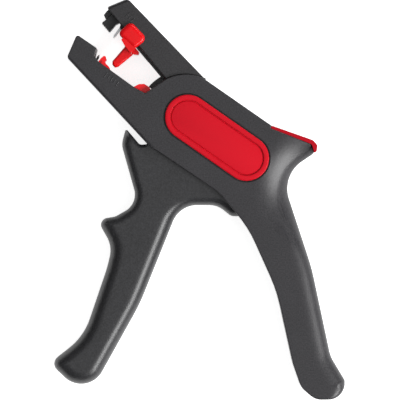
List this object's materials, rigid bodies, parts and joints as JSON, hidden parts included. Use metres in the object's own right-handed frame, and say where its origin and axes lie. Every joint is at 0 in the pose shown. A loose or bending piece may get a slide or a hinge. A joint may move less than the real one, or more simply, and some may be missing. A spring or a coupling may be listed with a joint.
{
  "type": "wire stripper",
  "caption": "Self-adjusting wire stripper with a swinging upper jaw, two drawn blades, a sliding length stop and a sprung trigger handle.",
  "frame": {"origin": "on the rear face, under the main pivot's axis", "axes": "+Z out of the front face, along the main pivot; +Y towards the jaws; +X towards the rear corner and the fixed handle"},
  "size_m": [0.1392, 0.1913, 0.0234],
  "materials": {
    "housing_plastic": "glass-filled nylon, fine spark-eroded grain, charcoal",
    "jaw_plastic": "glass-filled nylon, fine grain, charcoal",
    "trigger_plastic": "glass-filled nylon, fine grain, charcoal",
    "badge_red": "satin red plastic",
    "strip_red": "soft red overmould",
    "stop_red": "satin red plastic",
    "slide_red": "satin dark red plastic",
    "pad_black": "black hard plastic, ribbed",
    "nose_black": "black plastic",
    "slide_black": "black plastic",
    "blade_steel": "ground tool steel",
    "lower_blade_steel": "blackened tool steel with a ground edge",
    "link_steel": "blackened sheet steel",
    "pin_steel": "ground steel",
    "screw_steel": "zinc-plated steel",
    "spring_steel": "spring steel wire"
  },
  "bodies": {
    "housing": {"front_shell": "housing_plastic", "rear_shell": "housing_plastic", "badge": "badge_red", "corner_strip": "strip_red", "housing_screws": "screw_steel", "pivot_pin": "pin_steel", "lower_grip_pad": "pad_black", "return_spring": "spring_steel"},
    "upper_jaw": {"upper_jaw": "jaw_plastic", "upper_grip_pad": "pad_black", "nose_guide": "nose_black", "pad_pin": "pin_steel"},
    "upper_slide": {"upper_slide": "slide_black", "upper_blade": "blade_steel", "upper_blade_rivet": "pin_steel", "link_pin_upper": "pin_steel"},
    "length_stop": {"length_stop": "stop_red"},
    "lower_slide": {"lower_slide": "slide_red", "lower_blade": "lower_blade_steel", "lower_blade_rivet": "pin_steel"},
    "trigger": {"trigger": "trigger_plastic", "draw_pin": "pin_steel", "link_pin_lower": "pin_steel"},
    "pull_link": {"pull_link": "link_steel"}
  },
  "joints": [
    {"name": "trigger_squeeze", "type": "hinge", "parent": "housing", "child": "trigger", "pos_m": [0, 0, 0.011], "axis": [0, 0, 1], "range_deg": [0, 26], "stiffness_Nm_per_rad": 0.6, "springref_deg": -11.46, "deforming": ["return_spring"]},
    {"name": "jaw_swing", "type": "hinge", "parent": "housing", "child": "upper_jaw", "pos_m": [0, 0, 0.011], "axis": [0, 0, 1], "range_deg": [0, 9.3]},
    {"name": "upper_slide_pull", "type": "slide", "parent": "upper_jaw", "child": "upper_slide", "axis": [0.6414, -0.7672, 0], "range_m": [0, 0.0072]},
    {"name": "stop_adjust", "type": "slide", "parent": "upper_slide", "child": "length_stop", "axis": [0.6414, -0.7672, 0], "range_m": [0, 0.006]},
    {"name": "lower_slide_pull", "type": "slide", "parent": "housing", "child": "lower_slide", "axis": [0.8121, -0.5835, 0], "range_m": [0, 0.0072]},
    {"name": "link_swing", "type": "hinge", "parent": "trigger", "child": "pull_link", "pos_m": [-0.01489, -0.00001, 0.0173], "axis": [0, 0, 1], "range_deg": [-26, 0]}
  ],
  "couplings": [
    {"joint": "jaw_swing", "follows": "trigger_squeeze", "ratio": 0.3576},
    {"joint": "upper_slide_pull", "follows": "trigger_squeeze", "m_per_rad": 0.015866},
    {"joint": "lower_slide_pull", "follows": "trigger_squeeze", "m_per_rad": 0.015866},
    {"joint": "link_swing", "follows": "trigger_squeeze", "ratio": -1}
  ]
}
